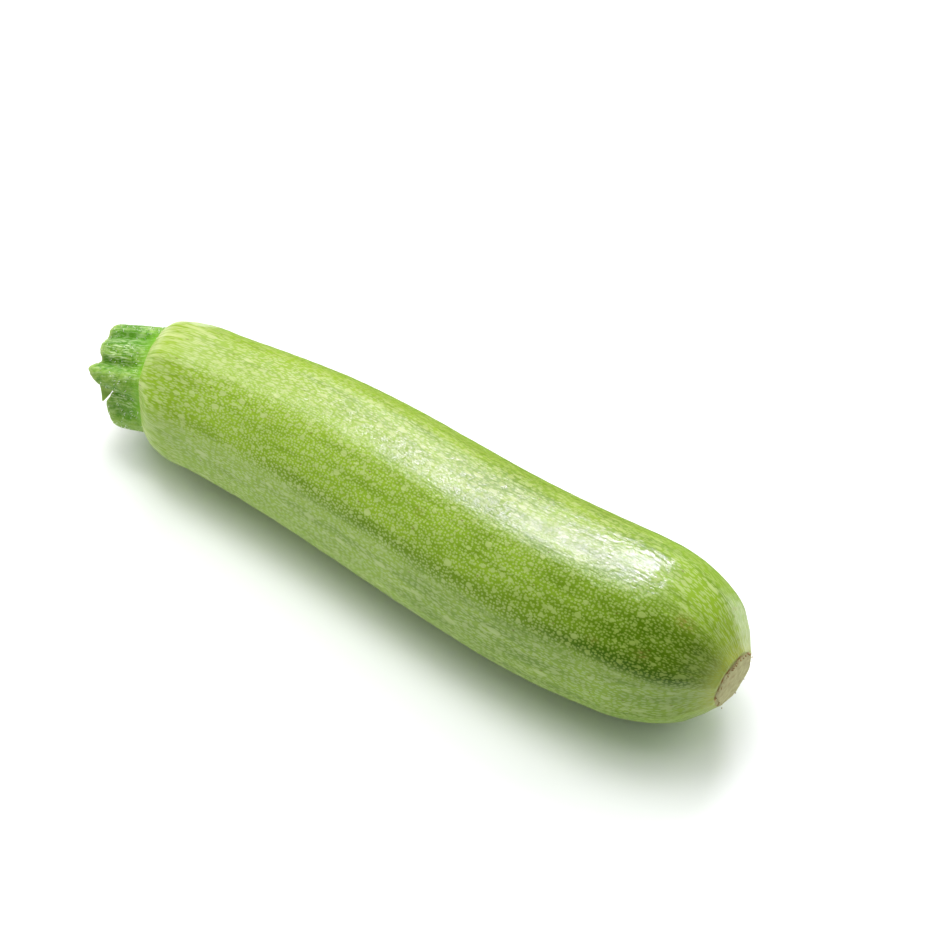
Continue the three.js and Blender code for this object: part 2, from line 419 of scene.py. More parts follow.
@dataclass(frozen=True)
class CourgetteSkin:
    """The fruit's skin: thin, waxed by the plant and alive, so it is glossy, a bit see-through and flecked.

    The flecks are air pockets under the skin. They were round when the fruit set, and stretched as it grew.
    The growth map is in millimetres, so a pattern's scale is its number of waves in a millimetre.
    """

    young_green: str = "90B42C"
    ripe_green: str = "587C00"
    young_fleck: str = "C4D48A"
    ripe_fleck: str = "ABC45E"
    shoulder_green: str = "C2D688"
    tip_yellow: str = "B2C048"
    # painted shade in the creases beside some rib crests, over the skin's own darker green
    crease_shade_green: str = "406406"
    # painted light: a warm tint laid on the upper side of the skin
    sunlit_tint: str = "FFF8FC"
    flecks: tuple[Fleck, ...] = (
        Fleck(0.62, 0.97, (0.11, 0.20), 0.12, 0.56),
        Fleck(1.75, 0.34, (0.22, 0.42), 0.16, 0.66),
        Fleck(4.60, 0.32, (0.32, 0.62), 0.22, 0.74),
    )
    speck: Fleck = Fleck(7.0, 0.45, (0.08, 0.16), 0.10, 0.55)
    speck_brown: str = "6B5220"
    stain_brown: str = "A07E46"
    roughness: float = 0.38
    ior: float = 1.27
    wax_roughness: float = 0.08
    relief_height: float = 0.18
    fleck_height: float = 0.12

    def material(self) -> bpy.types.Material:
        """The skin as a material."""
        make = MaterialMaker("courgette_skin")
        space = make.add("UVMap", uv_map=GROWTH_MAP)
        flecks = self.fleck_mask(make, self.crooked(make, space))
        bump = self.relief(make, space, flecks)
        waxed = make.add("Attribute", None, "Fac", attribute_name="waxed")
        return make.finished({
            "Base Color": self.colour(make, space, flecks), "Normal": bump,
            "Roughness": self.roughness, "IOR": self.ior,
            "Subsurface Weight": 0.12, "Subsurface Radius": (0.6, 1.0, 0.25), "Subsurface Scale": 2 * MM,
            "Coat Weight": waxed, "Coat Roughness": self.wax_roughness, "Coat Normal": bump,
        })

    def crooked(self, make: MaterialMaker, space: Link) -> Link:
        """The growth space with a small random shift, so that flecks aren't true circles."""
        wander = make.add("TexNoise", {"Vector": space, "Scale": 1.1}, "Color", noise_dimensions="2D")
        centred = make.add("VectorMath", {0: wander, 1: (0.5, 0.5, 0.5)}, operation="SUBTRACT")
        small = make.add("VectorMath", {0: centred, "Scale": 0.34}, operation="SCALE")
        return make.add("VectorMath", {0: space, 1: small})

    def scatter(self, make: MaterialMaker, space: Link, fleck: Fleck) -> Link:
        """The flecks of one size: their strength inside them and 0 between them."""
        cells = make.add("TexVoronoi", {"Vector": space, "Scale": 1 / fleck.spacing, "Randomness": 0.78},
                         voronoi_dimensions="2D").node.outputs
        chance = make.add("SeparateColor", {0: cells["Color"]}).node.outputs
        low, high, soft = (size / fleck.spacing for size in (*fleck.radius, fleck.softness))
        radius = make.add("MapRange", {0: chance[1], 3: low, 4: high})
        outer = make.add("Math", {0: radius, 1: soft})
        spot = make.add("MapRange", {0: cells["Distance"], 1: outer, 2: radius, 3: 0.0, 4: fleck.strength},
                        interpolation_type="SMOOTHSTEP")
        there = make.add("Math", {0: chance[0], 1: fleck.share}, operation="LESS_THAN")
        return make.add("Math", {0: spot, 1: there}, operation="MULTIPLY")

    def fleck_mask(self, make: MaterialMaker, space: Link) -> Link:
        """The flecks of every size, round on the side that faces the sun and drawn long elsewhere."""
        drawn = make.add("VectorMath", {0: space, 1: (0.55, 1.0, 1.0)}, operation="MULTIPLY")
        masks = []
        for own_space in (space, drawn):
            total: Link | float = 0.0
            for fleck in self.flecks:
                scattered = self.scatter(make, own_space, fleck)
                total = make.add("Math", {0: total, 1: scattered}, operation="MAXIMUM")
            masks.append(total)
        long_ones = make.add("Attribute", None, "Fac", attribute_name="drawn")
        return make.add("Mix", {0: long_ones, 2: masks[0], 3: masks[1]})

    def colour(self, make: MaterialMaker, space: Link, flecks: Link) -> Link:
        """Greens that deepen from the young stem end to the ripe blossom end, with flecks and blemishes."""
        ripe, tip, shoulder, crease_shade, sunlit, stain = (
            make.add("Attribute", None, "Fac", attribute_name=name)
            for name in ("ripeness", "near_scar", "near_stem", "crease_shade", "sunlit", "stain")
        )
        cloud_space, streak_space = (
            make.add("VectorMath", {0: space, 1: scale}, operation="MULTIPLY")
            for scale in ((0.07, 0.35, 0.35), (0.62, 0.42, 1.0))
        )
        cloud = make.add("TexNoise", {"Vector": cloud_space, "Scale": 1.0, "Detail": 3.0},
                         noise_dimensions="2D")
        drift = make.add("MapRange", {0: cloud, 1: 0.3, 2: 0.7, 3: -0.3, 4: 0.3})
        shade = make.add("Math", {0: ripe, 1: drift}, use_clamp=True)
        wavy = make.add("TexNoise", {"Vector": streak_space, "Scale": 1.0, "Detail": 2.0, "Distortion": 0.4},
                        noise_dimensions="2D")
        band = make.add("MapRange", {0: wavy, 1: 0.48, 2: 0.62})
        collar = make.add("Math", {0: shoulder, 1: band}, operation="MULTIPLY")
        grit = make.add("TexNoise", {"Vector": space, "Scale": 1.4}, noise_dimensions="2D")
        broken = make.add("MapRange", {0: grit, 1: 0.35, 2: 0.65})
        scuff = make.add("Math", {0: stain, 1: broken}, operation="MULTIPLY")
        colour, pale = (
            make.add("Mix", {0: shade, 6: hex_colour(young), 7: hex_colour(grown)}, 2, data_type="RGBA")
            for young, grown in ((self.young_green, self.ripe_green), (self.young_fleck, self.ripe_fleck))
        )
        layers = (
            (collar, hex_colour(self.shoulder_green), "MIX"), (tip, hex_colour(self.tip_yellow), "MIX"),
            # the next layer paints shade in the creases beside some rib crests
            (crease_shade, hex_colour(self.crease_shade_green), "MIX"), (flecks, pale, "MIX"),
            # painted warm light on the upper side
            (sunlit, hex_colour(self.sunlit_tint), "MULTIPLY"), (scuff, hex_colour(self.stain_brown), "MIX"),
            (self.scatter(make, space, self.speck), hex_colour(self.speck_brown), "MIX"),
        )
        for mask, over, blend in layers:
            colour = make.add("Mix", {0: mask, 6: colour, 7: over}, 2, data_type="RGBA", blend_type=blend)
        return colour

    def relief(self, make: MaterialMaker, space: Link, flecks: Link) -> Link:
        """The fine relief of the skin: a long shallow grain, with the flecks a little proud of it."""
        drawn = make.add("VectorMath", {0: space, 1: (0.6, 1.0, 1.0)}, operation="MULTIPLY")
        grain = make.add("TexNoise", {"Vector": drawn, "Scale": 0.90, "Detail": 3.0, "Roughness": 0.52},
                         noise_dimensions="2D")
        height = make.add("Math", {0: flecks, 1: self.fleck_height, 2: grain}, operation="MULTIPLY_ADD")
        return make.add("Bump", {"Strength": 1.0, "Distance": self.relief_height * MM, "Height": height})


@dataclass(frozen=True)
class DriedCork:
    """The healed blossom scar: dry cork, matt and beige, with a brown crumbly rim.

    Its scales are numbers of waves in a millimetre.
    """

    face_beige: str = "D4D19C"
    face_shade: str = "BCB582"
    rim_brown: str = "B4905A"
    crumb_dark: str = "8A6230"
    crumb_brown: float = 0.8
    blotch_scale: float = 0.7
    grain_scale: float = 3.0
    roughness: float = 0.85

    def material(self, name: str, rimmed: bool) -> bpy.types.Material:
        """Cork as a material.

        Args:
            name: The material's name.
            rimmed: True where it reads the "rim" attribute of the scar, False for loose crumbs.
        """
        make = MaterialMaker(name)
        space = make.add("TexCoord", None, "Object")
        blotch, fine = (
            make.add("TexNoise", {"Vector": space, "Scale": scale / MM, "Detail": detail})
            for scale, detail in ((self.blotch_scale, 4.0), (self.grain_scale, 2.0))
        )
        mottle = make.add("MapRange", {0: blotch, 1: 0.35, 2: 0.7})
        face, dark = (
            make.add("Mix", {0: mottle, 6: hex_colour(light), 7: hex_colour(deep)}, 2, data_type="RGBA")
            for light, deep in ((self.face_beige, self.face_shade), (self.rim_brown, self.crumb_dark))
        )
        rim = make.add("Attribute", None, "Fac", attribute_name="rim") if rimmed else self.crumb_brown
        colour = make.add("Mix", {0: rim, 6: face, 7: dark}, 2, data_type="RGBA")
        bump = make.add("Bump", {"Strength": 0.8, "Distance": 0.08 * MM, "Height": fine})
        return make.finished({"Base Color": colour, "Normal": bump, "Roughness": self.roughness, "IOR": 1.4})


@dataclass(frozen=True)
class StemSkin:
    """The stem's skin: tough, fibrous and downy, so it is duller than the fruit's, with pale streaks."""

    # painted shade: the dark green of the grooves between the lobes and of the upper side
    groove_shade_green: str = "4A8404"
    ridge_green: str = "94B850"
    fibre_pale: str = "C8DDA4"
    seam_yellow: str = "7ABA00"
    torn_pale: str = "B6C874"
    roughness: float = 0.6
    ior: float = 1.26
    fibre_height: float = 0.15

    def material(self) -> bpy.types.Material:
        """The stem's skin as a material."""
        make = MaterialMaker("stem_skin")
        growth = make.add("Attribute", None, "Vector", attribute_name="growth")
        space = make.add("VectorMath", {0: growth, "Scale": 1 / MM}, operation="SCALE")
        relief_shade, seam, torn, worn = (
            make.add("Attribute", None, "Fac", attribute_name=name)
            for name in ("relief_shade", "near_seam", "torn", "worn")
        )
        fibre_space = make.add("VectorMath", {0: space, 1: (0.25, 1.0, 1.0)}, operation="MULTIPLY")
        fibre, blotch, mottle = (
            make.add("TexNoise", {"Vector": own_space, "Scale": scale, "Detail": detail, "Roughness": rough})
            for own_space, scale, detail, rough in (
                (fibre_space, 2.2, 4.0, 0.62), (space, 0.35, 2.0, 0.5), (space, 1.1, 4.0, 0.65))
        )
        lined = make.add("MapRange", {0: fibre, 1: 0.47, 2: 0.66})
        streak = make.add("Math", {0: lined, 1: worn}, operation="MULTIPLY")
        uneven = make.add("Math", {0: mottle, 1: 2.2, 2: relief_shade}, operation="MULTIPLY_ADD")
        raised = make.add("Math", {0: blotch, 1: 1.2, 2: uneven}, operation="MULTIPLY_ADD", use_clamp=True)
        # the first layer lightens the ridges; the dark green left in the grooves and on the upper side is
        # painted shade
        colour: Link | tuple = hex_colour(self.groove_shade_green)
        layers = ((raised, self.ridge_green), (streak, self.fibre_pale), (seam, self.seam_yellow),
                  (torn, self.torn_pale))
        for mask, over in layers:
            colour = make.add("Mix", {0: mask, 6: colour, 7: hex_colour(over)}, 2, data_type="RGBA")
        bump = make.add("Bump", {"Strength": 0.8, "Distance": self.fibre_height * MM, "Height": fibre})
        return make.finished({
            "Base Color": colour, "Normal": bump, "Roughness": self.roughness, "IOR": self.ior,
            "Subsurface Weight": 0.1, "Subsurface Radius": (0.5, 1.0, 0.3), "Subsurface Scale": 1.5 * MM,
            "Sheen Weight": 0.05, "Sheen Roughness": 0.4,
        })


@dataclass(frozen=True)
class PlantHair:
    """The stem's bristles: short, stiff and glassy, so they show as white specks."""

    light: str = "FAFDF4"
    shade: str = "F2F8EA"
    patch_scale: float = 0.5
    roughness: float = 0.35

    def material(self) -> bpy.types.Material:
        """Bristles as a material, some a little paler than others."""
        make = MaterialMaker("plant_hair")
        space = make.add("TexCoord", None, "Object")
        patch = make.add("TexNoise", {"Vector": space, "Scale": self.patch_scale / MM})
        ends = {6: hex_colour(self.light), 7: hex_colour(self.shade)}
        colour = make.add("Mix", {0: patch, **ends}, 2, data_type="RGBA")
        return make.finished({"Base Color": colour, "Roughness": self.roughness, "IOR": 1.5})


@dataclass(frozen=True)
class PaintedBoard:
    """Painted board: one even colour, matt."""

    name: str
    paint: str
    roughness: float

    def material(self) -> bpy.types.Material:
        """The board as a material."""
        paint = hex_colour(self.paint)
        return MaterialMaker(self.name).finished({"Base Color": paint, "Roughness": self.roughness})


# --- the fruit


@dataclass
class Fruit:
    """The fruit: a loft of rings pulled along its middle line, then shaped by its ribs and small waves.

    Places along it are millimetres of skin from the seam, and places round it are degrees from the side that
    faces -Y. A stain's row is its place, angle, length, width and strength. A crease shade's row is its angle,
    its width in degrees, where it starts and is full, and its strength; it is painted shade beside a rib crest,
    over the skin's own darker green. A wave's or a pucker's row is its wavelength, seed and height.
    """

    form: CourgetteForm
    placement: Placement
    sides: int = 64
    rings_per_span: int = 4
    subdivisions: int = 2
    waves: Rows = ((14.0, 3.1, 0.10),)
    wave_stretch: tuple[float, float, float] = (0.5, 1, 1)
    puckers: Rows = ((3.4, 7.7, 0.085),)
    smooth_tip: float = 6.0
    stains: Rows = (
        (156.0, 40.4, 1.6, 0.9, 0.55), (161.7, 74.0, 2.6, 1.8, 0.45), (143.4, 37.1, 1.2, 0.8, 0.4),
        (42.9, 60.1, 1.0, 0.6, 0.4), (91.8, 56.8, 1.0, 0.8, 0.35), (167.4, 128.0, 0.35, 2.2, 0.6),
    )
    # dark lines of painted shade in the creases beside some rib crests
    crease_shade_lines: Rows = (
        (31, 6, 32, 55, 0.42), (33, 5, 115, 150, 0.25), (118, 7, 150, 163, 0.30), (205, 6, 110, 155, 0.35),
        (297, 6, 110, 155, 0.35),
    )
    crease_shade_end: Span = (166.0, 172.0)
    pale_collar: Span = (0.85, 9.0)
    yellow_tip: Span = (1.0, 3.5)
    wax: float = 0.5
    wax_start: Span = (3.0, 16.0)
    wax_below: float = 0.3
    ripening: Span = (30.0, 120.0)
    ripening_share: float = 0.30
    deep_green_side: Edges = (20.0, 32.0, 56.0, 84.0)
    deep_green_start: Span = (118.0, 158.0)
    deep_green_share: float = 0.75
    # painted light: the top of the blossom end is kept paler
    painted_lighting_side: Span = (84.0, 104.0)
    painted_lighting_start: Span = (142.0, 158.0)
    # where the painted warm light lies on the upper side, and where it fades out before the blossom end
    painted_warm_light_side: Edges = (52.0, 95.0, 165.0, 200.0)
    painted_warm_light_end: Span = (130.0, 150.0)
    round_fleck_side: Edges = (14.0, 30.0, 66.0, 96.0)
    stretch: float = 1.4
    stem_stretch: Span = (7.0, 8.0)
    tip_stretch: Span = (1.2, 14.0)
    pattern_radius: float = 20.0
    length_steps: int = 400
    skin: CourgetteSkin = field(default_factory=CourgetteSkin)

    def build(self) -> None:
        """Models the fruit and dresses it."""
        piece = self.loft()
        apply_modifier(piece, "finer", "SUBSURF", levels=self.subdivisions, render_levels=self.subdivisions,
                       subdivision_type="SIMPLE")
        self.shape(piece.data)
        finish_piece(piece, "fruit_skin", self.skin.material())
        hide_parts("fruit")

    def loft(self) -> bpy.types.Object:
        """Pulls a circle along the fruit, ring by ring, and closes both ends.

        Returns:
            The plain loft, which remembers each vertex's ring and its direction from the middle.
        """
        corners = np.array(self.form.outline, float)
        stations = np.arange(0, (len(corners) - 1) * self.rings_per_span + 1) / self.rings_per_span
        rings = smooth_outline(corners, stations)
        piece = primitive(bpy.ops.mesh.primitive_circle_add, vertices=self.sides, radius=rings[0, 1] * MM,
                          rotation=(0, math.pi / 2, 0))
        bpy.ops.object.transform_apply(location=True, rotation=True, scale=True)
        bpy.ops.object.mode_set(mode="EDIT")
        bpy.ops.mesh.select_all(action="SELECT")
        bpy.ops.mesh.edge_face_add()
        bpy.ops.mesh.select_all(action="SELECT")
        for (x0, r0), (x1, r1) in zip(rings[:-1], rings[1:]):
            bpy.ops.mesh.extrude_region_move(TRANSFORM_OT_translate={"value": ((x1 - x0) * MM, 0, 0)})
            bpy.ops.transform.resize(value=(1, r1 / r0, r1 / r0), center_override=(x1 * MM, 0, 0))
        bpy.ops.object.mode_set(mode="OBJECT")
        places = vertex_array(piece.data) / MM
        nearest = np.abs(places[:, :1] - rings[None, :, 0]).argmin(1)
        store(piece.data, "station", stations[nearest])
        spread = np.hypot(places[:, 1], places[:, 2])[:, None]
        store(piece.data, "round", np.stack([-places[:, 1], places[:, 2], 0 * places[:, 0]], -1) / spread)
        return piece

    def shape(self, mesh: bpy.types.Mesh) -> None:
        """Gives every vertex its place on the ribbed, bowed fruit, and writes what its skin follows."""
        station = stored(mesh, "station", 1)
        heading = stored(mesh, "round", 3)[:, :2]
        reach = np.linalg.norm(heading, axis=1)
        within = np.where(reach < 0.99, reach, 1.0)
        cosine, sine = (heading / np.maximum(reach, 1e-6)[:, None]).T
        angle = np.arctan2(sine, cosine)
        x, radius = smooth_outline(np.array(self.form.outline, float), station).T
        section = self.form.sections(x / self.form.length)
        skin = self.form.skin_radius(x, radius, angle) * within
        places = section.point(skin, cosine, sine)
        self.placement.fit(np.maximum(places, [-np.inf, -np.inf, 0.0]))
        along, stretched = self.growth_length(station)
        self.lay_map(mesh, stretched, angle)
        store(mesh, "ripeness", self.ripeness(along, angle))
        store(mesh, "near_stem", self.pale_collar[0] * np.exp(-along / self.pale_collar[1]))
        waxed = self.wax_below + (1 - self.wax_below) * smoothstep(sine, -0.3, 0.3)
        store(mesh, "waxed", self.wax * smoothstep(along, *self.wax_start) * waxed)
        from_tip = np.maximum(0, along.max() - along - self.yellow_tip[0])
        store(mesh, "near_scar", np.exp(-from_tip / self.yellow_tip[1]))
        # painted shade: dark lines in the creases beside some rib crests
        store(mesh, "crease_shade", self.crease_shades(along, angle))
        store(mesh, "stain", self.stained(along, angle))
        turn = np.degrees(angle) % 360
        # painted light: a warm tint on the upper side, fading out before the blossom end
        painted_warm_light = plateau(turn, self.painted_warm_light_side) * (1 - smoothstep(along, *self.painted_warm_light_end))
        store(mesh, "sunlit", painted_warm_light)
        store(mesh, "drawn", 1 - plateau(turn, self.round_fleck_side))
        move_vertices(mesh, self.placement(places))
        out = vertex_array(mesh, "normal")
        relief = ripples(places * self.wave_stretch, self.waves) + ripples(places, self.puckers)
        inside = smoothstep(within, 0.9, 1.0) * smoothstep(self.form.length - x, 0.0, self.smooth_tip)
        places = places + out * (relief * inside)[:, None]
        places[:, 2] = np.maximum(places[:, 2], 0.0)
        move_vertices(mesh, self.placement(places))
        for name in ("station", "round"):
            mesh.attributes.remove(mesh.attributes[name])

    def lay_map(self, mesh: bpy.types.Mesh, length: Array, angle: Array) -> None:
        """Unrolls the skin into a flat map in millimetres, cut open along the underside.

        Args:
            mesh: The fruit's mesh.
            length: Each vertex's distance from the seam in the young fruit.
            angle: Each vertex's angle round the fruit.
        """
        corner = np.empty(len(mesh.loops), np.int32)
        mesh.loops.foreach_get("vertex_index", corner)
        start = np.array([face.loop_start for face in mesh.polygons])
        count = np.array([face.loop_total for face in mesh.polygons])
        turn = (angle[corner] + math.pi / 2) % (2 * math.pi)
        widest = np.repeat(np.maximum.reduceat(turn, start), count)
        turn = np.where(widest - turn > math.pi, turn + 2 * math.pi, turn)
        flat = np.stack([length[corner], self.pattern_radius * turn], -1)
        layer = mesh.uv_layers.new(name=GROWTH_MAP)
        layer.data.foreach_set("uv", flat.astype(np.float32).ravel())

    def ripeness(self, along: Array, angle: Array) -> Array:
        """Depth of green: deepest between two ribs at the blossom end; painted light keeps its top pale."""
        turn = np.degrees(angle)
        # painted light: the top of the blossom end loses its ripening and stays paler
        painted_lighting = smoothstep(turn, *self.painted_lighting_side) * smoothstep(along, *self.painted_lighting_start)
        deep_green = plateau(turn, self.deep_green_side) * smoothstep(along, *self.deep_green_start)
        ripened = self.ripening_share * smoothstep(along, *self.ripening) * (1 - painted_lighting)
        return ripened + self.deep_green_share * deep_green

    def stained(self, along: Array, angle: Array) -> Array:
        """How much each point is stained by the few scuffs in the skin."""
        total = np.zeros_like(along)
        for place, turn, length, width, strength in self.stains:
            across = (angle - math.radians(turn)) * self.pattern_radius
            total += strength * peak(along - place, length) * peak(across, width)
        return total

    def crease_shades(self, along: Array, angle: Array) -> Array:
        """Painted shade in the creases beside some rib crests, on the skin's darker green, from 0 to 1."""
        lines = np.zeros_like(angle)
        for middle, width, start, full, strength in self.crease_shade_lines:
            lines += strength * peak(turned(angle, middle), width) * smoothstep(along, start, full)
        return lines * (1 - smoothstep(along, *self.crease_shade_end))

    def growth_length(self, station: Array) -> tuple[Array, Array]:
        """Distance along the skin from the seam, and the same before growth stretched the skin.

        Args:
            station: Places along the outline.

        Returns:
            The distances now, and the distances in the young fruit, scaled to today's width.
        """
        fine = np.linspace(0, len(self.form.outline) - 1, self.length_steps)
        path = smooth_outline(np.array(self.form.outline, float), fine)
        steps = np.linalg.norm(np.diff(path, axis=0), axis=1)
        now = np.concatenate([[0], np.cumsum(steps)])
        stretch = self.stretch + self.stem_stretch[0] * np.exp(-now / self.stem_stretch[1])
        stretch += self.tip_stretch[0] * np.exp(-(now[-1] - now) / self.tip_stretch[1])
        young = np.concatenate([[0], np.cumsum(steps / ((stretch[1:] + stretch[:-1]) / 2))])
        return np.interp(station, fine, now), np.interp(station, fine, young)


# --- the blossom scar


@dataclass
class BlossomScar:
    """The corky disc that the blossom left, with its raised rim and the crumbs on it.

    Sizes are in millimetres. A mark's row is its place on the disc and its size. A lump's row is its
    wavelength, seed and height. The crest is its place inward of the edge and its width.
    """

    form: CourgetteForm
    placement: Placement
    radius: float = 7.35
    rim_height: float = 0.30
    disc_height: float = 0.28
    dome: float = 0.45
    corners: int = 7
    angularity: float = 0.03
    flat_side: float = 0.12
    sides: int = 144
    crumb_count: int = 64
    inset_steps: tuple[float, ...] = (
        0.2, 0.15, 0.15, 0.15, 0.15, 0.2, 0.25, 0.3, 0.4, 0.5, 0.6, 0.8, 0.9, 0.9, 0.9, 0.8,
    )
    skirt: float = 0.3
    root_depth: float = 1.2
    edge_waves: Rows = ((0.35, 5.5, 0.035),)
    side_brown: float = 0.25
    crumb_sizes: Span = (0.10, 0.30)
    crumb_inset: Span = (0.35, 0.22)
    crumb_lift: Span = (0.35, 0.85)
    crest: Span = (0.3, 0.3)
    disc_edge: Span = (0.2, 1.3)
    lumps: Rows = ((1.1, 1.9, 0.5), (0.45, 4.2, 0.35))
    patches: Rows = ((1.5, 6.4, 1.6),)
    marks: Rows = ((2.6, 1.2, 0.7), (1.0, 2.4, 0.6), (-2.8, -3.2, 0.5))
    seed: int = 11
    rough_side: float = math.radians(60)
    rough_spread: float = math.radians(62)
    cork: DriedCork = field(default_factory=DriedCork)

    def build(self) -> None:
        """Models the disc and its crumbs and dresses both."""
        disc = self.disc()
        finish_piece(disc, "blossom_scar", self.cork.material("dried_cork", True))
        crumbs = self.crumbs()
        finish_piece(crumbs, "scar_crumbs", self.cork.material("cork_crumbs", False))

    def edge(self, angle: Array) -> Array:
        """The scar's slightly angular outline, as a share of its radius."""
        drawn_in = self.flat_side * smoothstep(np.cos(angle - self.rough_side), 0.0, 1.0)
        angular = self.angularity * np.cos(self.corners * angle)
        return 1 + angular + ripples(ring(angle), self.edge_waves) - drawn_in

    def disc(self) -> bpy.types.Object:
        """Insets a circle into a rim and a disc, then roughens it."""
        piece = primitive(bpy.ops.mesh.primitive_circle_add, vertices=self.sides,
                          radius=(self.radius + self.skirt) * MM, fill_type="NGON")
        bpy.ops.object.mode_set(mode="EDIT")
        bpy.ops.mesh.select_all(action="SELECT")
        for thickness in self.inset_steps:
            bpy.ops.mesh.inset(thickness=thickness * MM, depth=0)
        bpy.ops.mesh.select_all(action="SELECT")
        bpy.ops.mesh.extrude_region_move(TRANSFORM_OT_translate={"value": (0, 0, 1.5 * MM)})
        bpy.ops.object.mode_set(mode="OBJECT")
        flat = vertex_array(piece.data) / MM
        radius = np.hypot(flat[:, 0], flat[:, 1])
        angle = np.arctan2(flat[:, 1], flat[:, 0])
        top = flat[:, 2] > 0.5
        height, rim = self.relief(radius, flat)
        height = np.where(top, height, -self.root_depth)
        section = self.form.sections(np.ones(len(flat)))
        places = section.point(radius * self.edge(angle), np.cos(angle), np.sin(angle), height)
        store(piece.data, "rim", np.where(top, rim, self.side_brown))
        move_vertices(piece.data, self.placement(places))
        return piece

    def relief(self, radius: Array, flat: Array) -> tuple[Array, Array]:
        """The height of the cork over the scar's base, and how brown it is.

        Args:
            radius: Distances from the scar's middle.
            flat: The same points in the scar's plane.
        """
        lumps = ripples(flat, self.lumps)
        inward = self.radius - radius
        crest = peak(inward - self.crest[0], self.crest[1])
        disc = smoothstep(inward, *self.disc_edge)
        dome = self.dome * (1 - (radius / self.radius) ** 2)
        height = self.rim_height * crest * (1 + 0.5 * lumps) + disc * (self.disc_height + dome + 0.14 * lumps)
        height = np.where(inward < -0.05, -0.6, height)
        angle = np.arctan2(flat[:, 1], flat[:, 0])
        facing = 0.45 + 0.55 * smoothstep(np.cos(angle - self.rough_side), -0.6, 0.7)
        patchy = np.clip(0.55 + ripples(flat, self.patches), 0, 1)
        rim = facing * patchy * np.clip(1 - smoothstep(inward + 0.6 * lumps, 0.15, 0.55), 0, 1)
        for across, along, size in self.marks:
            away = np.hypot(flat[:, 0] - across, flat[:, 1] - along)
            rim += 0.6 * peak(away, size) * np.clip(0.5 + 1.5 * lumps, 0, 1)
        return height, rim

    def crumbs(self) -> bpy.types.Object:
        """Copies one lump all round the rim, each at its own size, turn and place."""
        random = np.random.default_rng(self.seed)
        piece = primitive(bpy.ops.mesh.primitive_ico_sphere_add, subdivisions=1, radius=1.0)
        lump = vertex_array(piece.data)
        section = self.form.sections(np.ones(1))
        copies = []
        for _ in range(self.crumb_count):
            angle = np.array([random.normal(self.rough_side, self.rough_spread)])
            size = random.uniform(*self.crumb_sizes) * random.uniform(0.6, 1.0, 3)
            radius = (self.radius - random.normal(*self.crumb_inset)) * self.edge(angle)
            centre = section.point(radius, np.cos(angle), np.sin(angle), random.uniform(*self.crumb_lift))
            turn = np.array(Matrix.Rotation(random.uniform(0, 6.28), 3, Vector(random.normal(size=3))))
            shape = lump * (1 + 0.25 * random.normal(size=(len(lump), 1)))
            copies.append(self.placement((shape * size) @ turn.T + centre))
        join_copies(piece, copies)
        return piece


# --- the stem


